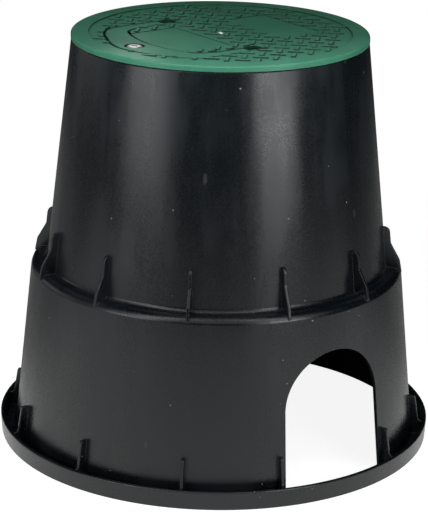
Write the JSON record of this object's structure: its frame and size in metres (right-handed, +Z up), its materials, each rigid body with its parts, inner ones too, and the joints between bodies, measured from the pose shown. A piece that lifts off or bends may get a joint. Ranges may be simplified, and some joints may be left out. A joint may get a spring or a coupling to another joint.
{
  "type": "irrigation valve box",
  "caption": "Round two-stage irrigation valve box with pipe arches, a flanged foot and a drop-in lid with folding carry handle.",
  "frame": {"origin": "on the ground plane, in the middle of the round foot", "axes": "+Z up; the pipe passage through the two arches runs along X; the folded carry handle lies towards -Y"},
  "size_m": [0.243, 0.243, 0.2286],
  "materials": {
    "black_plastic": "satin, moulded, lightly scuffed",
    "green_plastic": "satin, moulded",
    "green_plastic_handle": "satin, moulded",
    "stainless_steel": "satin",
    "zinc_plated_steel": "satin"
  },
  "bodies": {
    "box": {"box_body": "black_plastic", "lid": "green_plastic", "lock_screw": "stainless_steel", "lock_nut": "zinc_plated_steel"},
    "handle": {"carry_handle": "green_plastic_handle"}
  },
  "joints": [
    {"name": "handle_hinge", "type": "hinge", "parent": "box", "child": "handle", "pos_m": [0, -0.0066, 0.2232], "axis": [-1, 0, 0], "range_deg": [0, 90]}
  ]
}
